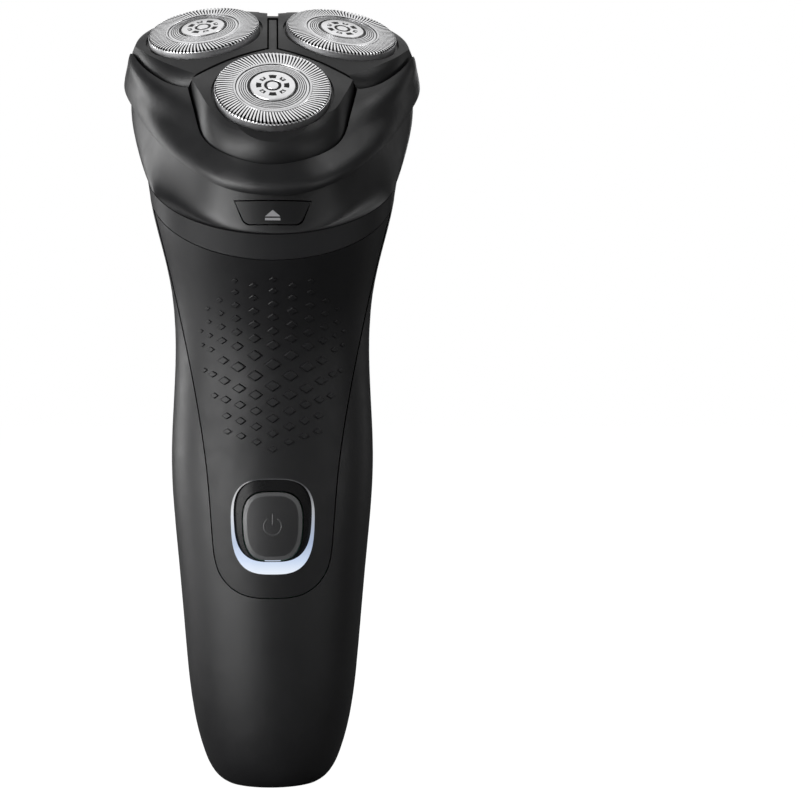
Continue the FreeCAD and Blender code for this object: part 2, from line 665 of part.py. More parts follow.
# Crown levels: depth below the rim plane, and how far the front, sides and rear pull in.
CROWN = [
    (12.7, 0.0, 0.0), (11.2, 0.5, 0.25), (9.5, 2.4, 0.65), (8.4, 4.0, 0.9), (6.4, 6.3, 1.4),
    (4.6, 9.0, 3.2), (3.4, 12.0, 7.0),
]
# Outer form of the side petals above the seam: depth, and how far it pulls in all round.
SHOULDER = [(12.7, 0.0), (9.5, 0.8), (6.3, 1.8), (3.6, 3.0), (0.9, 5.0), (-1.0, 7.6)]


def crown_ring(depth, front, side, inset=0.0):
    """Lip outline pulled in more at the front than at the sides and rear."""
    half = []
    for x, y in LIP:
        share = max(0.0, min(1.0, (-y - 2) / 26))
        share = share * share * (3 - 2 * share)
        length = math.hypot(x, y)
        pull = side + (front - side) * share
        half.append((x * (1 - pull / length), y * (1 - pull / length)))
    return head_outline(half, inset, -depth)


SPLIT, BAR_SPLIT = 0.35, 1.15
SEAM_DEPTH = 9.9
# Right half of the front petal's outer run in the head's plane, and how strongly each point is
# pulled in towards the petal's top.
FRONT_HALF = [
    (17.2, -9.9, 0.15), (16.5, -13.6, 0.2), (15.5, -17.9, 0.3), (14.35, -22.2, 0.5),
    (11.9, -26.5, 0.85), (6.7, -31.1, 1.0),
]
FRONT_TIP = (0.0, -32.9, 1.0)
# The right petal's outer run in the head's plane, from the front petal round to the bar.
SIDE_RUN = [
    (17.5, -10.1, 1.0), (20.8, -8.0, 1.0), (24.0, -4.4, 1.0), (27.4, 1.6, 1.0), (29.7, 8.6, 1.0),
    (31.2, 15.0, 1.0), (27.5, 23.0, 1.0), (15.0, 29.5, 1.0), (0.0, 32.0, 1.0),
]
FRONT_RUN = [(-x, y, w) for x, y, w in FRONT_HALF] + [FRONT_TIP] + FRONT_HALF[::-1]


def outer_run(run, inset, pull=0.0):
    """A petal's outer run pulled in by inset, and by pull times each point's strength."""
    points = [Vector(x, y, 0) for x, y, _ in run]
    moved = []
    for i, (point, (_, _, strength)) in enumerate(zip(points, run)):
        along = points[min(i + 1, len(points) - 1)] - points[max(i - 1, 0)]
        inward = Vector(-along.y, along.x, 0).normalize()
        moved.append(point + inward * (inset + pull * strength))
    return moved


def opening(run, gap):
    """Room for petals above the seam, from an outer run to the head's middle."""
    edge = outer_run(run, -gap)
    curve = Part.BSplineCurve()
    curve.interpolate(Points=edge)
    back = Part.LineSegment(edge[-1], Vector())
    out = Part.LineSegment(Vector(), edge[0])
    face = Part.Face(Part.Wire([curve.toShape(), back.toShape(), out.toShape()]))
    room = face.extrude(Vector(0, 0, 20))
    room.translate(Vector(0, 0, -SEAM_DEPTH))
    return room


def outer_curve(station, tip, along, inset, pull):
    """A petal's outer run in its own frame, from one straight side to the other."""
    run = outer_run(FRONT_RUN if station == "front" else SIDE_RUN, inset, pull)
    if station == "left":
        run = [Vector(-point.x, point.y, 0) for point in reversed(run)]
    turn = Rotation(Vector(0, 0, 1), -STATIONS[station])
    run = [turn.multVec(point) for point in run]
    run = [Vector(point.x, point.y, tip.z) for point in run]
    for end, side in ((0, -1), (-1, 1)):
        run[end] = tip + along[side] * (run[end] - tip).dot(along[side])
    curve = Part.BSplineCurve()
    curve.interpolate(Points=run)
    return curve


def sector(station, inset, pull, height, split=0.0):
    """Petal outline seen along the head's axis: two straight sides and an outer run."""
    gaps = {1: SPLIT + split, -1: SPLIT + split}
    if station != "front":
        gaps[1 if station == "right" else -1] = BAR_SPLIT + split
    cos60, sin60 = math.cos(math.pi / 3), math.sin(math.pi / 3)
    along = {side: Vector(cos60, side * sin60, 0) for side in (1, -1)}
    # The two straight sides meet where both gaps are kept.
    tip = Vector((gaps[1] + gaps[-1]) / (2 * sin60), (gaps[-1] - gaps[1]) / (2 * cos60), height)
    outer = outer_curve(station, tip, along, inset, pull)
    first = Part.LineSegment(tip, outer.StartPoint)
    last = Part.LineSegment(outer.EndPoint, tip)
    return Part.Wire([first.toShape(), outer.toShape(), last.toShape()])


CAVITY = [(12.9, 0.0, 0.0), (11.2, 0.5, 0.25), (9.4, 3.0, 0.7)]
crown = in_head(loft([crown_ring(*level) for level in CROWN]))
crown = crown.cut(in_head(loft([crown_ring(*level, inset=1.7) for level in CAVITY])))
high_arm = [
    (HINGE_Y + 0.9, HINGE_Z + 1.5), (HINGE_Y - 1.2, HINGE_Z + 0.6), (23.6, HINGE_Z + 0.9),
    (23.4, HINGE_Z + 3.2), (24.6, HINGE_Z + 3.2),
]
crown = crown.fuse(knuckle(-KNUCKLE, KNUCKLE, high_arm))
crown = crown.cut(in_head(opening(FRONT_RUN, 0)))
right_opening = opening(SIDE_RUN, 0.05)
crown = crown.cut(in_head(right_opening))
crown = crown.cut(in_head(right_opening.mirror(Vector(), Vector(1, 0, 0))))
BAR = [
    (0.6, -9.0), (0.6, -1.6), (6, -2.3), (19.4, -3.4), (22.4, -4.6), (24.2, -9.9), (24.2, -10.9),
    (21.0, -9.2),
]
crown = crown.fuse(in_head(prism([Vector(-0.8, y, z) for y, z in BAR], Vector(1.6, 0, 0))))
# Tab that closes the gap between the side petals at the rear.
TAB_HALF, TAB_FRONT, TAB_TOP = 2.6, 20.9, 3.6
tab = Part.makeBox(2 * TAB_HALF, 3.0, 10.9 - TAB_TOP, Vector(-TAB_HALF, TAB_FRONT, -10.9))
tab_room = loft([crown_ring(depth, pull, pull, 0.2) for depth, pull in SHOULDER])
crown = crown.fuse(in_head(tab.common(tab_room)))
feature("shaving_unit_frame", crown)

carrier_room = in_head(loft([crown_ring(*level, inset=1.85) for level in CAVITY[:2]]))
carrier = carrier_room.common(slab(size("carrier_top"), size("carrier_bottom")))
carrier = carrier.cut(knuckle(-KNUCKLE - 0.1, KNUCKLE + 0.1, high_arm))
HOOK = [(-34.0, -11.8), (-32.6, -11.8), (-32.6, -15.4), (-34.0, -15.0)]
hook = in_head(prism([Vector(-3.5, y, z) for y, z in HOOK], Vector(7, 0, 0)))
below = slab(size("carrier_bottom"), 40)
for station, angle in STATIONS.items():
    bore = Part.makeCylinder(8.6, 30, Vector(size("head_ring"), 0, -20))
    bore.Placement = turned_to(angle)
    carrier = carrier.cut(bore)
EAR_IN, EAR_OUT, LUG_IN, LUG_OUT = 10.3, 11.9, 12.2, 13.8
SHELF_IN, SHELF_OUT = 10.9, 13.2
PIVOT = size("petal_pivot")
for station in STATIONS:
    frame = petal_frame(station)
    for side in (1, -1):
        y0 = LUG_IN if side > 0 else -LUG_OUT
        lug = Part.makeBox(3.6, LUG_OUT - LUG_IN, 14 - PIVOT + 1.5, Vector(-1.8, y0, -14))
        lug = lug.cut(Part.makeCylinder(size("pin_hole_r"), 4, Vector(0, y0 - 1, -PIVOT), Vector(0, 1, 0)))
        lug.Placement = frame
        carrier = carrier.fuse(lug.cut(below))
carrier = carrier.fuse(hook)
feature("petal_carrier", carrier)

# ---------------------------------------------------------------- the three heads

# Petal walls: depth below the rim plane, and how far they pull in towards the top.
FRONT_LEVELS = [
    (12.0, 0.0), (8.8, 0.0), (7.2, 0.35), (5.6, 1.15), (4.2, 2.2), (3.0, 3.5), (1.8, 5.3), (-0.6, 9.4),
]
SIDE_LEVELS = [
    (12.0, 0.0), (8.0, 0.0), (5.0, 0.35), (3.6, 0.9), (2.5, 1.7), (1.5, 2.8), (-0.6, 5.4),
]
PETAL_GAP = 0.25
PETAL_SLOPE = 0.32
PETAL_TOP = 1.4


def petal_form(station, inset, top_drop):
    """Outer form of a petal, or the same pulled in by inset with its top lowered."""
    levels = []
    for depth, pull in FRONT_LEVELS if station == "front" else SIDE_LEVELS:
        levels.append(sector(station, PETAL_GAP + inset, pull, -depth, split=inset))
    walls = loft(levels).transformed(turned_to(STATIONS[station]).toMatrix())
    if station != "front":
        shoulder = loft([crown_ring(depth, pull, pull, inset + 0.05) for depth, pull in SHOULDER])
        walls = walls.common(in_head(shoulder))
        # Notch round the tab.
        half, start = TAB_HALF + 0.3 + inset, TAB_FRONT - 0.3 - inset
        walls = walls.cut(in_head(Part.makeBox(2 * half, 12, 20, Vector(-half, start, -16))))
    flat, low, reach = size("petal_recess") - 0.1, -16, 26
    foot = -PETAL_TOP - PETAL_SLOPE * (reach - flat)
    outline = ((0, low), (reach, low), (reach, foot), (flat, -PETAL_TOP), (0, -PETAL_TOP))
    corners = [Vector(x, 0, z) for x, z in outline]
    dome = Part.Face(Part.makePolygon(corners + corners[:1])).revolve(Vector(), Vector(0, 0, 1), 360)
    dome.translate(Vector(0, 0, -top_drop))
    return walls.common(dome.transformed(petal_frame(station).toMatrix()))


def petal(station):
    frame = petal_frame(station)
    solid = petal_form(station, 0, 0).cut(slab(size("skirt_z"), 40))
    solid = solid.cut(petal_form(station, 1.3, 1.4))
    tube_bottom = size("petal_tube_bottom")
    tube = Part.makeCylinder(size("petal_tube"), tube_bottom - PETAL_TOP, Vector(0, 0, -tube_bottom))
    tube = tube.transformed(frame.toMatrix()).common(petal_form(station, 0, 0))
    ears = []
    for side in (1, -1):
        y0 = EAR_IN if side > 0 else -EAR_OUT
        ear = Part.makeBox(3.6, EAR_OUT - EAR_IN, 3.6, Vector(-1.8, y0, -PIVOT - 1.4))
        shelf_y0 = SHELF_IN if side > 0 else -SHELF_OUT
        shelf = Part.makeBox(3.6, SHELF_OUT - SHELF_IN, 0.7, Vector(-1.8, shelf_y0, -tube_bottom - 0.25))
        pin_y = EAR_OUT - 0.2 if side > 0 else -LUG_OUT
        pin_run = LUG_OUT - EAR_OUT + 0.2
        pin = Part.makeCylinder(size("pin_r"), pin_run, Vector(0, pin_y, -PIVOT), Vector(0, 1, 0))
        ears.append(ear.fuse(shelf).fuse(pin).transformed(frame.toMatrix()))
    solid = solid.fuse(tube)
    bores = Part.makeCylinder(size("petal_bore"), 12, Vector(0, 0, -11))
    wide_foot = Vector(0, 0, -size("guard_drop") + 0.5 - 8)
    wide = Part.makeCylinder(size("guard_flange") + 0.02, 8, wide_foot)
    seat = Part.makeCylinder(size("petal_recess") - 0.1, 2, Vector(0, 0, -PETAL_TOP - 0.6))
    for tool in (bores, wide, seat):
        solid = solid.cut(tool.transformed(frame.toMatrix()))
    for ear in ears:
        solid = solid.fuse(ear)
    return solid


GUARD = [
    ("guard_flange", "-guard_drop"), ("guard_flange", "-guard_drop+0.45"), ("guard_r", "-guard_drop+0.45"),
    ("guard_r", "-0.5"), ("guard_r-0.15", "-0.15"), ("guard_r-0.5", "0"), ("track_r", "0"),
    ("track_r-0.35", "-dish_drop"), ("cap_stem_r", "-dish_drop"),
    ("cap_stem_r", "-guard_sheet-dish_drop"), ("track_r-0.5", "-guard_sheet-dish_drop"),
    ("track_r-0.1", "-guard_sheet"), ("guard_r-guard_sheet", "-guard_sheet"),
    ("guard_r-guard_sheet", "-guard_drop"),
]
CAP = [
    ("0", "-1.2"), ("cap_stem_r", "-1.2"), ("cap_stem_r", "-dish_drop"), ("cap_r", "-dish_drop"),
    ("cap_r", "cap_rise-0.35"), ("cap_r-0.35", "cap_rise"), ("0", "cap_rise"),
]
RETAINER = [
    ("ring_in", "-ring_bottom"), ("guard_flange", "-ring_bottom"), ("guard_flange", "-ring_top"),
    ("ring_in", "-ring_top"),
]


def cutter(station):
    """Ring of blades standing on a thin disc."""
    label = f"cutter_{station}"
    body = doc.addObject("PartDesign::Body", label)
    ring = polygon_sketch(body, label + "_ring", "XZ_Plane", [
        ("hub_r", "-blade_base"), ("cutter_r", "-blade_base"),
        ("cutter_r", "-blade_base+blade_sheet"), ("hub_r", "-blade_base+blade_sheet")])
    disc = body.newObject("PartDesign::Revolution", label + "_disc")
    disc.Profile, disc.ReferenceAxis, disc.Angle = ring, (ring, ["V_Axis"]), 360
    blade = polygon_sketch(body, label + "_blade_outline", "XY_Plane", [
        ("track_r+0.3", "-0.5"), ("cutter_r-0.1", "-0.3"), ("cutter_r-0.1", "0.3"), ("track_r+0.3", "0.1")])
    blade.AttachmentOffset = Placement(Vector(0, 0, -size("blade_base") + 0.3), Rotation())
    doc.recompute()
    pad = body.newObject("PartDesign::Pad", label + "_blade")
    pad.Profile = blade
    pad.setExpression("Length", "Sizes.blade_base - 0.3 - Sizes.guard_sheet - Sizes.blade_gap")
    doc.recompute()
    pattern = body.newObject("PartDesign::PolarPattern", label + "_blades")
    pattern.Originals, pattern.Axis, pattern.Angle = [pad], (blade, ["N_Axis"]), 360
    pattern.setExpression("Occurrences", "Sizes.cutter_count")
    body.Tip = pattern
    return keep(body, label, petal_frame(station))


def cutter_hub():
    """Hub with a slot for the spindle's tongue and a flared mouth below it."""
    bottom, top = -size("hub_bottom"), -size("blade_base")
    hub = Part.makeCylinder(size("hub_r"), top - bottom + 0.6, Vector(0, 0, bottom))
    hub = hub.fuse(Part.makeCylinder(size("hub_r") + 2.2, 0.8, Vector(0, 0, top - 0.8)))
    half, reach = size("slot_half"), size("slot_reach")
    slot_top = -BALL_DEPTH + size("ball_r") + 0.35
    slot = Part.makeBox(2 * reach, 2 * half, slot_top - bottom, Vector(-reach, -half, bottom))
    mouth = Part.makeCone(size("flare_r"), half, -size("flare_top") - bottom, Vector(0, 0, bottom))
    return hub.cut(slot).cut(mouth)


def spindle(angle):
    """Shaft with a ball-sided tongue; the tongue's wide way lies fore and aft at rest."""
    ball_r, half = size("ball_r"), size("blade_half")
    gear_foot, foot = -size("gear_bottom"), -size("plate_bottom") + 0.2
    ball = Vector(0, 0, -BALL_DEPTH)
    neck_z = -BALL_DEPTH - 1.2
    pin = Part.makeCylinder(size("pin_r"), gear_foot - foot, Vector(0, 0, foot))
    stem = Part.makeCylinder(size("spindle_r"), neck_z - gear_foot, Vector(0, 0, gear_foot))
    # Neck and ball are cut to one flat tongue.
    tongue = Part.makeCone(size("spindle_r"), 0.6, 1.2, Vector(0, 0, neck_z))
    tongue = tongue.fuse(Part.makeSphere(ball_r, ball))
    tongue = tongue.common(Part.makeBox(2 * ball_r, 2 * half, 6, Vector(-ball_r, -half, neck_z)))
    solid = pin.fuse(stem).fuse(tongue)
    solid.rotate(Vector(), Vector(0, 0, 1), 90 - angle)
    return solid


for station, angle in STATIONS.items():
    frame = petal_frame(station)
    feature(f"petal_{station}", petal(station))
    turned(f"guard_{station}", GUARD, frame)
    turned(f"guard_cap_{station}", CAP, frame)
    turned(f"retainer_{station}", RETAINER, frame)
    cutter(station)
    hub = cutter_hub()
    hub.rotate(Vector(), Vector(0, 0, 1), 90 - angle)
    feature(f"cutter_hub_{station}", hub, frame)
    feature(f"spindle_{station}", spindle(angle), spindle_frame(station))
    spur_gear(f"spindle_gear_{station}", "gear_teeth", "spindle_r", 0, spindle_frame(station))

# ---------------------------------------------------------------- checks and files

doc.recompute()
for obj in doc.Objects:
    if "Invalid" in obj.State or "Error" in obj.State:
        raise RuntimeError(f"{obj.Label} failed: {obj.State}")
for node in nodes:
    if node.Shape.isNull() or not node.Shape.isValid() or not node.Shape.Solids:
        raise RuntimeError(f"{node.Label} has no valid solid")
os.makedirs("parts", exist_ok=True)
for node in nodes:
    node.Shape.exportStep(f"parts/{node.Label}.step")
print(len(nodes), "sub-parts written")
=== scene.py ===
import json
import math

import bmesh
import bpy
from mathutils import Matrix, Vector
from mathutils.bvhtree import BVHTree


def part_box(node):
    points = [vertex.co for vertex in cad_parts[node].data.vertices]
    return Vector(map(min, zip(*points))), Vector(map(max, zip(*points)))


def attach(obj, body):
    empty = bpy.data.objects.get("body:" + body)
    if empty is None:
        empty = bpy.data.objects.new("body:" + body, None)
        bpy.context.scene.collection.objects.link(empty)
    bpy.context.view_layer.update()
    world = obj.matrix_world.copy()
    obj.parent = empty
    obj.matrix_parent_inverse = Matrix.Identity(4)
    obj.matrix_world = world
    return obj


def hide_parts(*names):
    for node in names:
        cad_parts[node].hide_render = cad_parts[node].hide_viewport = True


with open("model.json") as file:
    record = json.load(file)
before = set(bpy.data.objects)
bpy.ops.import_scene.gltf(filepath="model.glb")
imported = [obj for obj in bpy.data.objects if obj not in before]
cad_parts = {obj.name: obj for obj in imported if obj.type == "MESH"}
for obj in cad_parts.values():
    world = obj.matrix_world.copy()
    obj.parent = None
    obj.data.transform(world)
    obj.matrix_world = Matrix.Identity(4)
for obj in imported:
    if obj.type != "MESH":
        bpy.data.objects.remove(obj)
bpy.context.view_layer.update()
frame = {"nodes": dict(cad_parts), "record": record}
NODES = frame["nodes"]
MM = 0.001
STATIONS = ("front", "right", "left")
# Distance in mm from a cutter joint's point up to the plane of its guard's rim.
RIM_RISE = 3

# ---------------------------------------------------------------- mesh helpers


def new_piece(name, verts, faces, body, material, smooth=True):
    """A mesh piece riding on a body, with its normals made consistent."""
    mesh = bpy.data.meshes.new(name)
    mesh.from_pydata([tuple(v) for v in verts], [], faces)
    bm = bmesh.new()
    bm.from_mesh(mesh)
    bmesh.ops.recalc_face_normals(bm, faces=bm.faces)
    bm.to_mesh(mesh)
    bm.free()
    piece = bpy.data.objects.new(name, mesh)
    bpy.context.scene.collection.objects.link(piece)
    for polygon in mesh.polygons:
        polygon.use_smooth = smooth
    mesh.materials.append(material)
    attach(piece, body)
    return piece


def sharpen(piece, degrees):
    """Keeps edges sharper than an angle crisp under smooth shading."""
    limit = math.radians(degrees)
    bm = bmesh.new()
    bm.from_mesh(piece.data)
    for edge in bm.edges:
        edge.smooth = len(edge.link_faces) == 2 and edge.calc_face_angle(0.0) < limit
    bm.to_mesh(piece.data)
    bm.free()


def joint(name):
    return next(j for j in frame["record"]["behaviour"]["joints"] if j["name"] == name)


def head_matrix(station):
    """Frame of one shaving head in metres: Z along its axis, origin at its rim's centre."""
    spin, tilt = joint(f"cutter_spin_{station}"), joint(f"head_tilt_{station}")
    z = Vector(spin["axis"]).normalized()
    y = Vector(tilt["axis"]).normalized()
    x = y.cross(z).normalized()
    centre = Vector(spin["pos_m"]) + z * (RIM_RISE * MM)
    rows = [(x[i], y[i], z[i], centre[i]) for i in range(3)]
    return Matrix((*rows, (0, 0, 0, 1)))


def lathe(profile, count=120):
    """Vertices and faces of a closed profile of (radius, height) in mm turned about Z."""
    verts, faces = [], []
    rows = len(profile)
    for i in range(count):
        t = 2 * math.pi * i / count
        for r, z in profile:
            verts.append(Vector((r * math.cos(t), r * math.sin(t), z)) * MM)
    for i in range(count):
        j = (i + 1) % count
        for k in range(rows):
            n = (k + 1) % rows
            faces.append((i * rows + k, j * rows + k, j * rows + n, i * rows + n))
    return verts, faces


def merge(groups):
    """Joins several (vertices, faces) lists into one."""
    verts, faces = [], []
    for more_verts, more_faces in groups:
        start = len(verts)
        verts.extend(more_verts)
        faces.extend(tuple(start + i for i in face) for face in more_faces)
    return verts, faces


def placed(verts, matrix):
    return [matrix @ v for v in verts]


# ---------------------------------------------------------------- materials


class Nodes:
    """Small helper for building a procedural material."""

    def __init__(self, name):
        self.material = bpy.data.materials.new(name)
        self.material.use_nodes = True
        self.tree = self.material.node_tree
        self.shader = self.tree.nodes["Principled BSDF"]
        self.place = self.add("ShaderNodeTexCoord").outputs["Object"]

    def add(self, kind):
        return self.tree.nodes.new(kind)

    def link(self, source, target):
        self.tree.links.new(source, target)

    def put(self, **values):
        for key, value in values.items():
            self.shader.inputs[key.replace("_", " ")].default_value = value

    def noise(self, scale, detail=4.0, roughness=0.5):
        noise = self.add("ShaderNodeTexNoise")
        noise.inputs["Scale"].default_value = scale
        noise.inputs["Detail"].default_value = detail
        noise.inputs["Roughness"].default_value = roughness
        self.link(self.place, noise.inputs["Vector"])
        return noise.outputs["Fac"]

    def spread(self, fac, low, high, start=0.3, end=0.7):
        """Maps a noise value onto a range."""
        spread = self.add("ShaderNodeMapRange")
        for key, value in (("From Min", start), ("From Max", end), ("To Min", low), ("To Max", high)):
            spread.inputs[key].default_value = value
        self.link(fac, spread.inputs["Value"])
        return spread.outputs["Result"]

    def tint(self, fac, dark, light):
        """Colours the surface between two shades by a noise value."""
        ramp = self.add("ShaderNodeValToRGB")
        ramp.color_ramp.elements[0].position = 0.3
        ramp.color_ramp.elements[1].position = 0.7
        ramp.color_ramp.elements[0].color = (*dark, 1)
        ramp.color_ramp.elements[1].color = (*light, 1)
        self.link(fac, ramp.inputs["Fac"])
        self.link(ramp.outputs["Color"], self.shader.inputs["Base Color"])

    def bump(self, fac, strength, distance, after=None):
        bump = self.add("ShaderNodeBump")
        bump.inputs["Strength"].default_value = strength
        bump.inputs["Distance"].default_value = distance
        self.link(fac, bump.inputs["Height"])
        if after is not None:
            self.link(after, bump.inputs["Normal"])
        self.link(bump.outputs["Normal"], self.shader.inputs["Normal"])
        return bump.outputs["Normal"]


def plastic(name, dark, light, rough, grain=5200, specular=0.5, coat=0.0):
    """Moulded plastic: fine spark-eroded grain, faint flow marks and uneven sheen."""
    m = Nodes(name)
    m.tint(m.noise(90, 5), dark, light)
    m.link(m.spread(m.noise(260, 5, 0.6), *rough), m.shader.inputs["Roughness"])
    fine = m.bump(m.noise(grain, 3, 0.6), 0.25, 0.00003)
    m.bump(m.noise(45, 2), 0.05, 0.0004, after=fine)
    m.put(Specular_IOR_Level=specular, Coat_Weight=coat, Coat_Roughness=0.12)
    return m.material


def metal(name, colour, rough):
    """Turned or rolled steel with fine tool marks."""
    m = Nodes(name)
    m.tint(m.noise(700, 4), [c * 0.90 for c in colour], colour)
    m.link(m.spread(m.noise(900, 4), *rough), m.shader.inputs["Roughness"])
    m.bump(m.noise(2600, 3, 0.6), 0.05, 0.000004)
    m.put(Metallic=1.0)
    return m.material


HOUSING = plastic("housing_plastic", (0.0085, 0.0085, 0.0093), (0.0115, 0.0115, 0.0125), rough=(0.40, 0.48))
GRIP = plastic(
    "grip_plastic", (0.0070, 0.0070, 0.0078), (0.0095, 0.0095, 0.0105), rough=(0.44, 0.52), grain=6800,
    specular=0.38,
)
CROWN = plastic("crown_plastic", (0.0085, 0.0085, 0.0092), (0.0115, 0.0115, 0.0124), rough=(0.36, 0.44))
PETAL = plastic(
    "petal_plastic", (0.0060, 0.0060, 0.0066), (0.0085, 0.0085, 0.0092), rough=(0.38, 0.46), specular=0.42,
)
TRIM = plastic(
    "trim_plastic", (0.008, 0.008, 0.009), (0.011, 0.011, 0.012), rough=(0.46, 0.54), specular=0.28,
)
GLOSS = plastic(
    "gloss_black", (0.002, 0.002, 0.0024), (0.004, 0.004, 0.0046), rough=(0.22, 0.30), specular=0.16,
)
BUTTON = plastic("button_plastic", (0.013, 0.013, 0.014), (0.018, 0.018, 0.019), rough=(0.40, 0.5))
INNER = plastic("inner_grey", (0.10, 0.10, 0.105), (0.15, 0.15, 0.155), rough=(0.45, 0.6))
NATURAL = plastic("natural_acetal", (0.62, 0.62, 0.58), (0.74, 0.74, 0.71), rough=(0.35, 0.5))
RUBBER = plastic("seal_rubber", (0.012, 0.012, 0.012), (0.02, 0.02, 0.02), rough=(0.6, 0.75), grain=3000)
BOARD = plastic("board_green", (0.01, 0.07, 0.03), (0.015, 0.10, 0.045), rough=(0.3, 0.4))
SLEEVE = plastic("cell_sleeve", (0.03, 0.10, 0.22), (0.04, 0.13, 0.28), rough=(0.2, 0.3), coat=0.3)
RIB_STEEL = metal("rib_steel", (0.94, 0.94, 0.95), rough=(0.26, 0.36))
BAND_STEEL = metal("band_steel", (0.74, 0.74, 0.75), rough=(0.24, 0.34))
GROOVE_STEEL = metal("groove_steel", (0.80, 0.80, 0.81), rough=(0.24, 0.34))
SKIRT_STEEL = metal("skirt_steel", (0.50, 0.50, 0.51), rough=(0.50, 0.60))
DISK_STEEL = metal("disk_steel", (0.90, 0.90, 0.91), rough=(0.32, 0.42))
BRIGHT = plastic(
    "bright_rim", (0.070, 0.071, 0.073), (0.090, 0.091, 0.093), rough=(0.20, 0.28), specular=0.45,
)
GROUND = metal("ground_steel", (0.30, 0.30, 0.31), rough=(0.30, 0.42))
# Cutter steel coloured near black: painted shade for the dark inside under the guards' slots.
BLADE_PAINTED_SHADE = metal("blade_steel", (0.06, 0.06, 0.063), rough=(0.5, 0.65))
BRASS = metal("contact_brass", (0.80, 0.66, 0.36), rough=(0.2, 0.3))
MARK = plastic("mark_grey", (0.30, 0.30, 0.31), (0.38, 0.38, 0.39), rough=(0.4, 0.5))
ICON = plastic("icon_grey", (0.050, 0.050, 0.052), (0.065, 0.065, 0.067), rough=(0.3, 0.4))
# Near black: painted shade on the guard's rib walls and groove floors, and the colour of the cap's stamped
# marks and of the ring round its eye.
SHADE_AND_MARK_BLACK = plastic("painted_shade_and_mark", (0.004, 0.004, 0.004), (0.007, 0.007, 0.007), rough=(0.45, 0.55), specular=0.25)


def lit_ring(low, high):
    """Translucent light guide, brightest at its foot and fading up its sides."""
    m = Nodes("lit_guide")
    split = m.add("ShaderNodeSeparateXYZ")
    m.link(m.place, split.inputs["Vector"])
    rise = m.spread(split.outputs["Z"], 0.0, 1.0, low, high)
    glow = m.add("ShaderNodeValToRGB")
    stops = [
        (0.0, (0.80, 0.86, 0.94)), (0.14, (0.56, 0.66, 0.84)), (0.32, (0.36, 0.44, 0.60)),
        (0.68, (0.34, 0.35, 0.37)), (0.92, (0.008, 0.008, 0.009)),
    ]
    for extra in stops[2:]:
        glow.color_ramp.elements.new(extra[0])
    for element, (place, colour) in zip(glow.color_ramp.elements, stops):
        element.position = place
        element.color = (*colour, 1)
    m.link(rise, glow.inputs["Fac"])
    m.link(glow.outputs["Color"], m.shader.inputs["Emission Color"])
    m.tint(m.noise(400), (0.040, 0.041, 0.043), (0.050, 0.051, 0.053))
    m.link(m.spread(m.noise(500), 0.12, 0.2), m.shader.inputs["Roughness"])
    m.put(Emission_Strength=1.0)
    return m.material


low_guide, high_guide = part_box("light_guide")
LIGHT = lit_ring(low_guide[2], high_guide[2])

FINISHES = {
    "housing": HOUSING, "grip": GRIP, "crown": CROWN, "petal": PETAL, "trim": TRIM, "button": BUTTON,
    "gloss_black": GLOSS, "light": LIGHT, "bright_rim": BRIGHT, "guard_steel": RIB_STEEL, "cap": DISK_STEEL,
    "blade_steel": BLADE_PAINTED_SHADE, "steel": GROUND, "shaft_steel": GROUND, "white_plastic": NATURAL,
    "grey_plastic": INNER, "seal": RUBBER, "cell_sleeve": SLEEVE, "contact": BRASS, "board": BOARD,
}
for part in frame["record"]["subparts"]:
    node = NODES[part["node"]]
    node.data.materials.clear()
    node.data.materials.append(FINISHES[part["material_slot"]])
# The release button has the petals' finish, darker than the power button's.
NODES["release_button"].data.materials[0] = PETAL

# ---------------------------------------------------------------- guards

# Slots in one guard, the turn of a rib along its length in radians and the ribs' share of the slotted track.
SLOT_COUNT = 92
SWIRL = 0.07
BAR_SHARE = 0.52
# Radii in mm of the guard and of the slotted track's inner end, and where the track turns down.
GUARD_R, TRACK_R = 11.6, 7.95
TURN_R = 10.9
RIB_BEND_R = 11.2
# Radii of the plain ring's edge and of the first groove inside it, then the grooves' number, pitch and
# width, and the radius where the grooved ring ends.
RING_R = 7.26
GROOVE_HIGH, GROOVE_COUNT, GROOVE_STEP, GROOVE_GAP = 6.80, 5, 0.42, 0.19
LAND_END = 4.92


def ribs(share, top, bottom):
    """Ribs of the slotted track between two depths, curving over the guard's edge."""
    outer = [
        (TRACK_R - 0.1, 0.0), (8.8, 0.0), (9.7, 0.0), (10.6, 0.0), (11.1, -0.02), (11.42, -0.16),
        (11.54, -0.30), (GUARD_R - 0.02, -0.47),
    ]
    layers = []
    for depth in (top, bottom):
        layer = []
        for r, z in outer:
            pull = max(0.0, (r - TURN_R) / (GUARD_R - TURN_R))
            drop = 1.0 if r < RIB_BEND_R else 0.4
            layer.append((r - depth * pull, z - depth * drop))
        layers.append(layer)
    groups = []
    for i in range(SLOT_COUNT):
        middle = 2 * math.pi * i / SLOT_COUNT
        verts, faces = [], []
        for (ro, zo), (ri, zi) in zip(*layers):
            lean = middle + SWIRL * (ro - TRACK_R) / (GUARD_R - TRACK_R)
            half = share * math.pi / SLOT_COUNT * (TRACK_R + 1.6) / max(ro, TRACK_R)
            for r, z, side in ((ro, zo, -1), (ro, zo, 1), (ri, zi, 1), (ri, zi, -1)):
                t = lean + side * half
                verts.append(Vector((r * math.cos(t), r * math.sin(t), z)) * MM)
        rows = len(outer)
        for k in range(rows - 1):
            a = 4 * k
            for s in range(4):
                faces.append((a + s, a + (s + 1) % 4, a + 4 + (s + 1) % 4, a + 4 + s))
        faces.append((0, 1, 2, 3))
        faces.append((4 * rows - 4, 4 * rows - 3, 4 * rows - 2, 4 * rows - 1))
        groups.append((verts, faces))
    return groups


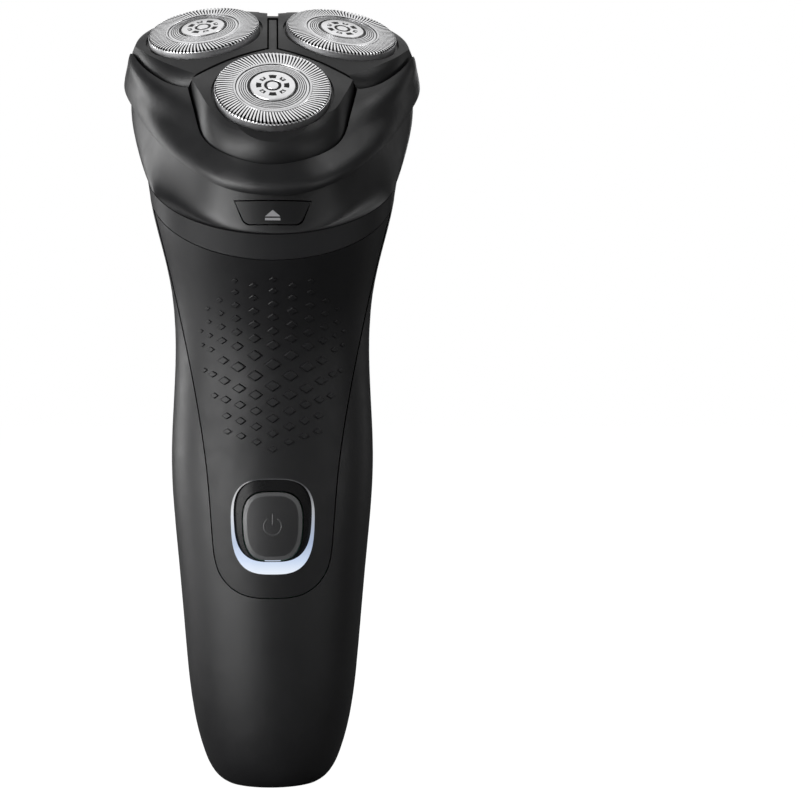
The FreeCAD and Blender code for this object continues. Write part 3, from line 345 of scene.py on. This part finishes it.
def guard_bars():
    """Bright faces of the ribs and the thin edge they run into."""
    edge = lathe([(GUARD_R - 0.3, -0.45), (GUARD_R, -0.45), (GUARD_R, -0.6), (GUARD_R - 0.3, -0.6)])
    return merge(ribs(BAR_SHARE, 0.0, 0.06) + [edge])


def bar_walls_painted_shade():
    """Cut walls of the ribs below their faces, coloured near black as painted shade in the slots."""
    return merge(ribs(BAR_SHARE - 0.02, 0.05, 0.32))


def guard_band():
    """Plain raised band between the slots and the grooves."""
    profile = [
        (TRACK_R, -0.3), (TRACK_R, 0.03), (TRACK_R - 0.08, 0.09), (7.50, 0.09), (7.44, 0.02), (7.44, -0.7),
        (TRACK_R, -0.7),
    ]
    return lathe(profile)


def dome(r):
    """Height of the grooved ring, which rises a little towards the cap."""
    return 0.15 * (RING_R - r) - 0.05


def guard_grooves():
    """Plain ring and the concentric grooves between it and the cap."""
    starts = [RING_R] + [GROOVE_HIGH - i * GROOVE_STEP - GROOVE_GAP for i in range(GROOVE_COUNT)]
    ends = [GROOVE_HIGH - i * GROOVE_STEP for i in range(GROOVE_COUNT)] + [LAND_END]
    profile = [(7.42, -0.6), (7.42, -0.34), (RING_R + 0.02, -0.34)]
    for start, end in zip(starts, ends):
        floor_z = dome(end) - 0.2
        profile += [(start, dome(start)), (end, dome(end))]
        profile += [(end - 0.02, floor_z), (end - GROOVE_GAP + 0.02, floor_z)]
    profile += [(4.6, -0.26), (4.6, -0.6)]
    return lathe(profile)


def groove_floors_painted_shade():
    """Floors of the grooves, coloured near black as painted shade."""
    rings = [(RING_R + 0.02, 7.43, -0.12), (4.60, LAND_END - 0.03, dome(LAND_END) - 0.06)]
    for i in range(GROOVE_COUNT):
        r = GROOVE_HIGH - i * GROOVE_STEP
        rings.append((r - GROOVE_GAP + 0.02, r - 0.02, dome(r) - 0.05))
    groups = [lathe([(low, z - 0.2), (high, z - 0.2), (high, z), (low, z)]) for low, high, z in rings]
    return merge(groups)


def guard_skirt():
    """Plain skirt below the slots, stepping out to the foot that the retainer holds."""
    rim = GUARD_R - 0.02
    profile = [
        (GUARD_R - 0.5, -0.55), (rim, -0.55), (rim, -2.9), (12.28, -2.95), (12.28, -3.4),
        (GUARD_R - 0.5, -3.4),
    ]
    return lathe(profile)


def cap_disk():
    """Central disk with a rounded rim and a sunk ring round a small eye."""
    profile = [
        (0.0001, 0.44), (1.12, 0.44), (1.20, 0.34), (1.66, 0.34), (1.74, 0.44), (4.2, 0.44), (4.44, 0.39),
        (4.60, 0.2), (4.60, -0.25), (0.0001, -0.25),
    ]
    return lathe(profile, 96)


def cap_channel():
    """Dark ring round the eye."""
    return lathe([(1.19, 0.3), (1.68, 0.3), (1.66, 0.40), (1.22, 0.40)], 72)


def wedge(middle, corners, low, high):
    """Flat block over (radius, turn) corners, between two heights."""
    count = len(corners)
    verts = []
    for z in (low, high):
        for r, turn in corners:
            t = middle + turn
            verts.append(Vector((r * math.cos(t), r * math.sin(t), z)) * MM)
    faces = [tuple(range(count)), tuple(range(count, 2 * count))]
    faces += [(i, (i + 1) % count, count + (i + 1) % count, count + i) for i in range(count)]
    return verts, faces


def cap_marks():
    """Ring of eight dark stamped sectors, the four on the diagonals narrower."""
    groups = []
    for i in range(8):
        half = 0.25 if i % 2 == 0 else 0.21
        low, high = (2.28, 3.34) if i % 2 == 0 else (2.36, 3.22)
        corners = [(low, half), (low, 0), (low, -half), (high, -half), (high, 0), (high, half)]
        groups.append(wedge(2 * math.pi * i / 8, corners, 0.40, 0.452))
    return merge(groups)


def cap_studs():
    """Light triangles left standing in the four narrower sectors."""
    corners = [(2.52, 0.0), (3.12, -0.12), (3.12, 0.12)]
    return merge([wedge(2 * math.pi * (i + 0.5) / 4, corners, 0.40, 0.47) for i in range(4)])


# The bar walls and groove floors are steel coloured near black: painted shade in the guard's slots and
# grooves.
GUARD_PIECES = (
    ("guard_bars", guard_bars, RIB_STEEL, "guard_steel", "guard", 40),
    ("bar_walls_painted_shade", bar_walls_painted_shade, SHADE_AND_MARK_BLACK, "gloss_black", None, 40),
    ("guard_band", guard_band, BAND_STEEL, "guard_steel", "guard", 30),
    ("guard_grooves", guard_grooves, GROOVE_STEEL, "guard_steel", "guard", 30),
    ("groove_floors_painted_shade", groove_floors_painted_shade, SHADE_AND_MARK_BLACK, "gloss_black", None, 30),
    ("guard_skirt", guard_skirt, SKIRT_STEEL, "guard_steel", "guard", 30),
    ("cap_disk", cap_disk, DISK_STEEL, "cap", "guard_cap", 30),
    ("cap_channel", cap_channel, SHADE_AND_MARK_BLACK, "gloss_black", None, 30),
    ("cap_marks", cap_marks, SHADE_AND_MARK_BLACK, "gloss_black", None, 30),
    ("cap_studs", cap_studs, DISK_STEEL, "cap", None, 30),
)
for station in STATIONS:
    matrix = head_matrix(station)
    for name, make, material, slot, node, limit in GUARD_PIECES:
        verts, faces = make()
        piece = new_piece(f"{name}_{station}", placed(verts, matrix), faces, f"head_{station}", material)
        sharpen(piece, limit)
        if node:
            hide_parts(f"{node}_{station}")

# ---------------------------------------------------------------- grip diamonds


def surface_of(node):
    """Ray caster onto a CAD node's front."""
    mesh = NODES[node].data
    verts = [v.co.copy() for v in mesh.vertices]
    return BVHTree.FromPolygons(verts, [tuple(p.vertices) for p in mesh.polygons])


def on_front(tree, x, z):
    """Point and outward normal of the front surface at x, z (metres)."""
    point, normal, _, _ = tree.ray_cast(Vector((x, -0.1, z)), Vector((0, 1, 0)))
    if point is None:
        return None, None
    if normal.y > 0:
        normal = -normal
    return point, normal


def diamond(tree, x, z, half_wide, half_tall, rise):
    """Soft-edged raised diamond lying on the grip panel."""
    verts, faces = [], []
    steps = 12
    levels = ((1.0, -0.06), (0.97, 0.35 * rise), (0.88, 0.80 * rise), (0.72, rise), (0.4, rise))
    for scale, lift in levels:
        for i in range(steps):
            t = 2 * math.pi * i / steps
            c, s = math.cos(t), math.sin(t)
            r = 1 / (abs(c) + abs(s)) * (0.95 if i % 3 == 0 else 1.0)
            reach = scale * r * MM
            point, normal = on_front(tree, x + half_wide * reach * c, z + half_tall * reach * s)
            if point is None:
                return None
            verts.append(point + normal * lift * MM)
    for k in range(len(levels) - 1):
        for i in range(steps):
            j = (i + 1) % steps
            faces.append((k * steps + i, k * steps + j, (k + 1) * steps + j, (k + 1) * steps + i))
    faces.append(tuple(range((len(levels) - 1) * steps, len(levels) * steps)))
    faces.append(tuple(range(steps - 1, -1, -1)))
    return verts, faces


panel_tree = surface_of("front_panel")
# Heights of the middle column's diamonds in mm with their half widths; odd columns lie half a row lower.
ROWS = [
    (101.8, 0.80), (99.6, 0.95), (97.1, 1.10), (94.5, 1.22), (91.8, 1.36), (89.0, 1.56), (85.2, 1.88),
    (80.9, 1.74), (77.6, 1.50), (74.4, 1.38), (71.4, 1.25), (68.3, 1.02),
]
# Columns on either side of the middle one, the radius in mm they lie on and the turn between them.
COLUMNS = 5
FIELD_WIDTH = 14.6
COLUMN_TURN = 0.242
# The field narrows towards the sides: lowest and highest diamond of each column out from the middle.
REACH = [(68.0, 102.0), (67.0, 101.5), (69.0, 103.5), (70.0, 100.0), (76.0, 97.5), (82.0, 92.5)]


# Each column out sags by this much in mm, less so above the given height, and its diamonds get narrower.
SAG, SAG_TOP, UPPER_SAG = 0.12, 88, 0.4
NARROWING, LAST_NARROWING = 0.028, 0.8
# The columns stand further apart above the middle height and closer together below it.
FLARE, MIDDLE_Z, HALF_HEIGHT = 0.10, 84.0, 16.0


def diamond_field():
    """All diamonds of the grip."""
    groups = []
    for column in range(-COLUMNS, COLUMNS + 1):
        out = abs(column)
        lowest, highest = REACH[out]
        for i, (z, half) in enumerate(ROWS):
            if column % 2:
                if i == len(ROWS) - 1:
                    break
                z, half = (z + ROWS[i + 1][0]) / 2, (half + ROWS[i + 1][1]) / 2
            z -= SAG * out * out * (1 if z < SAG_TOP else UPPER_SAG)
            if not lowest <= z <= highest:
                continue
            spread = 1.0 + FLARE * max(-1.0, min(1.0, (z - MIDDLE_Z) / HALF_HEIGHT))
            x = FIELD_WIDTH * spread * math.sin(column * COLUMN_TURN)
            half *= 1 - NARROWING * out * out * (1 if out < COLUMNS else LAST_NARROWING)
            made = diamond(panel_tree, x * MM, z * MM, half, 0.70 * half, 0.10 + 0.20 * half)
            if made:
                groups.append(made)
    return merge(groups)


verts, faces = diamond_field()
piece = new_piece("grip_diamonds", verts, faces, "handle", GRIP)
sharpen(piece, 28)

# ---------------------------------------------------------------- icons


def ribbon(path, half_wide, half_high, name):
    """Rounded strip following (x, z) points in mm over the power button."""
    points = [on_front(button_tree, x * MM, z * MM) for x, z in path]
    verts, faces = [], []
    sides = 10
    count = len(points)
    for i, (point, normal) in enumerate(points):
        before = points[max(i - 1, 0)][0]
        after = points[min(i + 1, count - 1)][0]
        along = (after - before).normalized()
        across = along.cross(normal).normalized()
        for k in range(sides):
            t = 2 * math.pi * k / sides
            sideways = across * (math.cos(t) * half_wide * MM)
            verts.append(point + sideways + normal * (math.sin(t) * half_high * MM))
    for i in range(count - 1):
        j = i + 1
        for k in range(sides):
            n = (k + 1) % sides
            faces.append((i * sides + k, i * sides + n, j * sides + n, j * sides + k))
    faces.append(tuple(range(sides)))
    faces.append(tuple(range((count - 1) * sides, count * sides)))
    piece = new_piece(name, verts, faces, "power_key", ICON)


button_tree = surface_of("power_button")
low_button, high_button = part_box("power_button")
ICON_Z = (low_button[2] + high_button[2]) / 2 / MM
ICON_R = 1.75
# Half of the arc's opening at the top, in degrees, and the number of steps along it.
OPENING = 32
ARC_STEPS = 40
arc = []
for i in range(ARC_STEPS + 1):
    t = math.radians(90 + OPENING + (360 - 2 * OPENING) * i / ARC_STEPS)
    arc.append((ICON_R * math.cos(t), ICON_Z + ICON_R * math.sin(t)))
ribbon(arc, 0.17, 0.09, "power_icon_arc")
BAR_FOOT, BAR_LENGTH, BAR_STEPS = 0.2, 2.4, 8
bar = [(0.0, ICON_Z + BAR_FOOT + BAR_LENGTH * i / BAR_STEPS) for i in range(BAR_STEPS + 1)]
ribbon(bar, 0.15, 0.09, "power_icon_bar")

release_tree = surface_of("release_button")
low_release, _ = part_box("release_button")


def flat_mark(points, name):
    """Thin printed shape on the release button."""
    verts, faces = [], []
    for lift in (-0.05, 0.05):
        for x, z in points:
            point, normal = on_front(release_tree, x * MM, z * MM)
            verts.append(point + normal * lift * MM)
    count = len(points)
    faces.append(tuple(range(count)))
    faces.append(tuple(range(count, 2 * count)))
    for i in range(count):
        j = (i + 1) % count
        faces.append((i, j, count + j, count + i))
    piece = new_piece(name, verts, faces, "release_key", MARK, smooth=False)


# The eject mark's lowest edge and half its width, in mm.
MARK_Z = low_release[2] / MM + 0.75
MARK_HALF = 1.5
triangle = [(-MARK_HALF, MARK_Z + 0.75), (MARK_HALF, MARK_Z + 0.75), (0.0, MARK_Z + 2.0)]
flat_mark(triangle, "release_icon_triangle")
underline = [
    (-MARK_HALF, MARK_Z), (MARK_HALF, MARK_Z), (MARK_HALF, MARK_Z + 0.45), (-MARK_HALF, MARK_Z + 0.45),
]
flat_mark(underline, "release_icon_bar")

# ---------------------------------------------------------------- floor, light and camera


def area(name, spot, target, wide, tall, watts):
    """White softbox at a spot, facing a target, with its size in metres."""
    light = bpy.data.lights.new(name, "AREA")
    light.shape = "RECTANGLE"
    light.size, light.size_y = wide, tall
    light.energy = watts
    obj = bpy.data.objects.new(name, light)
    obj.location = spot
    obj.rotation_euler = (Vector(target) - Vector(spot)).to_track_quat("-Z", "Y").to_euler()
    bpy.context.scene.collection.objects.link(obj)


def seen_only(tree, other, bright, output):
    """Shows one shader to the camera and another to every other ray."""
    ray = tree.nodes.new("ShaderNodeLightPath")
    pick = tree.nodes.new("ShaderNodeMixShader")
    tree.links.new(ray.outputs["Is Camera Ray"], pick.inputs["Fac"])
    tree.links.new(other, pick.inputs[1])
    tree.links.new(bright, pick.inputs[2])
    tree.links.new(pick.outputs["Shader"], output)


def floor():
    """Plain pale disc that looks white, but throws little light up onto the object."""
    m = Nodes("floor_pale")
    m.tint(m.noise(12, 3), (0.10, 0.10, 0.10), (0.12, 0.12, 0.12))
    m.link(m.spread(m.noise(40), 0.6, 0.7), m.shader.inputs["Roughness"])
    m.put(Specular_IOR_Level=0.0)
    glow = m.add("ShaderNodeEmission")
    glow.inputs["Strength"].default_value = 1.0
    both = m.add("ShaderNodeAddShader")
    m.link(glow.outputs["Emission"], both.inputs[0])
    m.link(m.shader.outputs["BSDF"], both.inputs[1])
    out = m.tree.nodes["Material Output"].inputs["Surface"]
    seen_only(m.tree, m.shader.outputs["BSDF"], both.outputs["Shader"], out)
    mesh = bpy.data.meshes.new("floor")
    count, radius = 64, 6
    ring = [2 * math.pi * i / count for i in range(count)]
    rim = [(radius * math.cos(t), radius * math.sin(t), 0) for t in ring]
    mesh.from_pydata(rim, [], [tuple(range(count))])
    mesh.materials.append(m.material)
    obj = bpy.data.objects.new("floor", mesh)
    bpy.context.scene.collection.objects.link(obj)


floor()
world = bpy.data.worlds.new("studio")
bpy.context.scene.world = world
world.use_nodes = True
sky = world.node_tree
back = sky.nodes["Background"]
back.inputs["Color"].default_value = (1, 1, 1, 1)
back.inputs["Strength"].default_value = 0.03
seen = sky.nodes.new("ShaderNodeBackground")
seen.inputs["Color"].default_value = (1, 1, 1, 1)
seen.inputs["Strength"].default_value = 1.0
world_out = sky.nodes["World Output"].inputs["Surface"]
seen_only(sky, back.outputs["Background"], seen.outputs["Background"], world_out)

# Name, place, point it faces, width and height in metres, watts.
LAMPS = (
    ("key_left", (-0.61, -0.48, 0.12), (0, 0, 0.06), 0.84, 0.23, 5.8),
    ("floor_left", (-0.34, -0.12, 0.004), (-0.34, -0.12, 1), 0.28, 0.46, 0.8),
    ("overhead", (0, 0.32, 1.10), (0, 0.32, 0), 1.35, 1.35, 5.6),
    ("crown_left", (-0.50, -0.62, 0.55), (0, 0, 0.13), 0.25, 0.25, 0.6),
    ("crown_right", (0.62, -0.25, 0.72), (0, 0, 0.13), 0.30, 0.30, 1.1),
    ("fill_front", (0.25, -1.2, 0.22), (0, 0, 0.08), 1.2, 0.36, 1.1),
    ("fill_right", (0.90, -0.50, 0.11), (0, 0, 0.06), 0.7, 0.2, 0.9),
    ("rim_right", (0.62, 0.40, 0.15), (0, 0, 0.08), 0.15, 0.7, 0.22),
    ("back_fill", (0.10, 1.3, 0.50), (0, 0, 0.08), 0.9, 0.6, 3.0),
    ("rim_left", (-0.62, 0.36, 0.15), (0, 0, 0.08), 0.30, 0.5, 2.0),
)
for lamp in LAMPS:
    area(*lamp)

# Slight telephoto from in front, level with the middle of the handle.
camera = bpy.data.cameras.new("camera")
camera.sensor_width = 36
camera.lens = 91.5
view = bpy.data.objects.new("camera", camera)
view.location = (0, -0.423, 0.0778)
view.rotation_euler = (math.radians(90), 0, math.radians(-3.61))
bpy.context.scene.collection.objects.link(view)
bpy.context.scene.camera = view
bpy.context.scene.view_settings.view_transform = "Standard"
